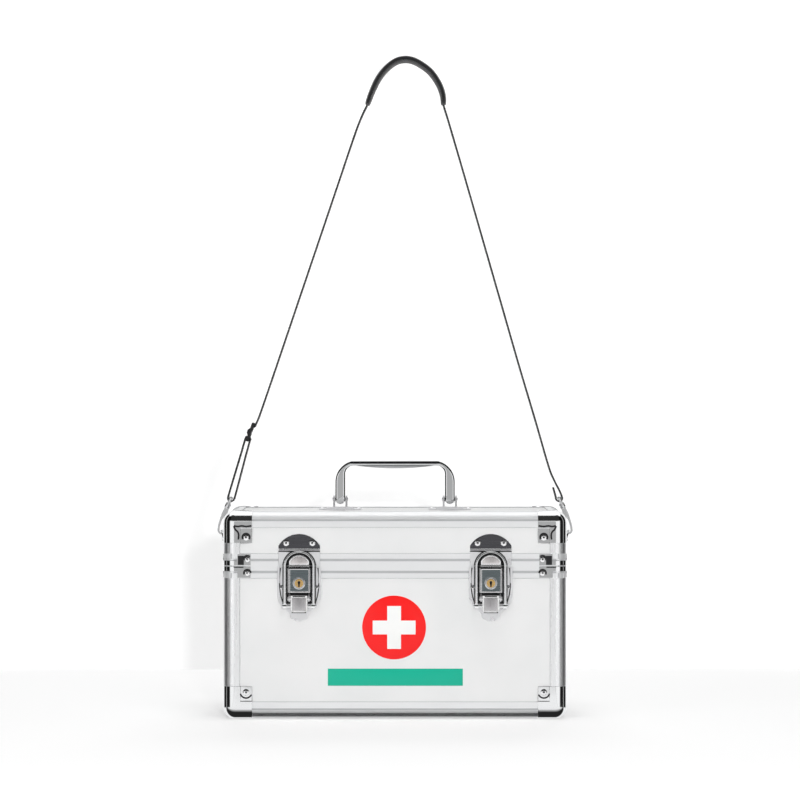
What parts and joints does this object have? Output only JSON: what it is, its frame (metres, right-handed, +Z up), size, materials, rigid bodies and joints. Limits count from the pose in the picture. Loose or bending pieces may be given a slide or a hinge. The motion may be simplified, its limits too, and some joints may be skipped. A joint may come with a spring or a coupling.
{
  "type": "medicine storage box",
  "caption": "Aluminium-edged medicine box with a hinged lid, key-locking over-centre latches, folding handle, lift-out tray and padded shoulder strap.",
  "frame": {"origin": "middle of the case's base, on the plane it rests on", "axes": "+X to the right of the front, +Y from the front to the hinges, +Z up"},
  "size_m": [0.382, 0.2392, 0.7041],
  "materials": {
    "white_laminate": "white board panels with a fine sheen",
    "edge_aluminium": "satin extruded aluminium",
    "polished_steel": "polished pressed steel",
    "latch_steel": "dark brushed steel",
    "lock_brass": "polished brass",
    "black_foam": "matte closed-cell foam",
    "corner_plastic": "moulded black plastic",
    "tray_plastic": "moulded white plastic",
    "grip_plastic": "moulded grey plastic",
    "webbing": "black woven webbing",
    "pad_fabric": "black padded fabric",
    "black_plastic": "moulded black plastic"
  },
  "bodies": {
    "case": {"body_front_panel": "white_laminate", "body_back_panel": "white_laminate", "body_side_panels": "white_laminate", "body_floor_panel": "white_laminate", "body_bottom_rails": "edge_aluminium", "body_corner_posts": "edge_aluminium", "body_rim": "edge_aluminium", "bottom_corner_caps": "polished_steel", "body_corner_plates": "polished_steel", "body_corner_joints": "corner_plastic", "body_rivets": "polished_steel", "body_liner": "black_foam", "latch_bases": "latch_steel", "lock_housings": "latch_steel", "lever_pins": "polished_steel", "latch_rivets": "polished_steel", "lower_hinge_leaves": "polished_steel", "hinge_pins": "polished_steel"},
    "lid": {"lid_top_panel": "white_laminate", "lid_front_panel": "white_laminate", "lid_back_panel": "white_laminate", "lid_side_panels": "white_laminate", "lid_top_rails": "edge_aluminium", "lid_corner_posts": "edge_aluminium", "lid_rim": "edge_aluminium", "lid_corner_caps": "polished_steel", "lid_corner_plates": "polished_steel", "lid_corner_joints": "corner_plastic", "lid_rivets": "polished_steel", "lid_liner": "black_foam", "catch_plates": "latch_steel", "handle_brackets": "polished_steel", "handle_pins": "polished_steel", "upper_hinge_leaves": "polished_steel", "ring_brackets": "polished_steel", "strap_rings": "polished_steel", "snap_hooks": "polished_steel", "gate_pins": "polished_steel", "hook_swivels": "polished_steel", "strap_left": "webbing", "strap_right": "webbing", "shoulder_pad": "pad_fabric", "strap_adjuster": "black_plastic"},
    "tray": {"medicine_tray": "tray_plastic"},
    "handle": {"carry_handle": "polished_steel", "handle_grip": "grip_plastic"},
    "lever_left": {"latch_lever_left": "polished_steel"},
    "bail_left": {"bail_pin_left": "polished_steel", "latch_bail_left": "polished_steel"},
    "lock_left": {"lock_cylinder_left": "lock_brass"},
    "gate_left": {"hook_gate_left": "polished_steel"},
    "lever_right": {"latch_lever_right": "polished_steel"},
    "bail_right": {"bail_pin_right": "polished_steel", "latch_bail_right": "polished_steel"},
    "lock_right": {"lock_cylinder_right": "lock_brass"},
    "gate_right": {"hook_gate_right": "polished_steel"}
  },
  "joints": [
    {"name": "lid_hinge", "type": "hinge", "parent": "case", "child": "lid", "pos_m": [0, 0.1139, 0.1606], "axis": [-1, 0, 0], "range_deg": [0, 100]},
    {"name": "handle_fold", "type": "hinge", "parent": "lid", "child": "handle", "pos_m": [0, 0, 0.2284], "axis": [1, 0, 0], "range_deg": [-90, 90]},
    {"name": "tray_lift", "type": "slide", "parent": "case", "child": "tray", "axis": [0, 0, 1], "range_m": [0, 0.035]},
    {"name": "latch_lever_left", "type": "hinge", "parent": "case", "child": "lever_left", "pos_m": [-0.1005, -0.1172, 0.1265], "axis": [-1, 0, 0], "range_deg": [0, 95]},
    {"name": "latch_bail_left", "type": "hinge", "parent": "lever_left", "child": "bail_left", "pos_m": [-0.1005, -0.1168, 0.1186], "axis": [1, 0, 0], "range_deg": [0, 95.5]},
    {"name": "lock_turn_left", "type": "hinge", "parent": "case", "child": "lock_left", "pos_m": [-0.1005, -0.1218, 0.1429], "axis": [0, -1, 0], "range_deg": [0, 90]},
    {"name": "hook_gate_left", "type": "hinge", "parent": "lid", "child": "gate_left", "pos_m": [-0.1826, 0, 0.2104], "axis": [0, 1, 0], "range_deg": [0, 16], "stiffness_Nm_per_rad": 0.001},
    {"name": "latch_lever_right", "type": "hinge", "parent": "case", "child": "lever_right", "pos_m": [0.1005, -0.1172, 0.1265], "axis": [-1, 0, 0], "range_deg": [0, 95]},
    {"name": "latch_bail_right", "type": "hinge", "parent": "lever_right", "child": "bail_right", "pos_m": [0.1005, -0.1168, 0.1186], "axis": [1, 0, 0], "range_deg": [0, 95.5]},
    {"name": "lock_turn_right", "type": "hinge", "parent": "case", "child": "lock_right", "pos_m": [0.1005, -0.1218, 0.1429], "axis": [0, -1, 0], "range_deg": [0, 90]},
    {"name": "hook_gate_right", "type": "hinge", "parent": "lid", "child": "gate_right", "pos_m": [0.1826, 0, 0.2104], "axis": [0, -1, 0], "range_deg": [0, 16], "stiffness_Nm_per_rad": 0.001}
  ],
  "couplings": [
    {"joint": "latch_bail_left", "follows": "latch_lever_left", "ratio": 1},
    {"joint": "latch_bail_right", "follows": "latch_lever_right", "ratio": 1}
  ]
}
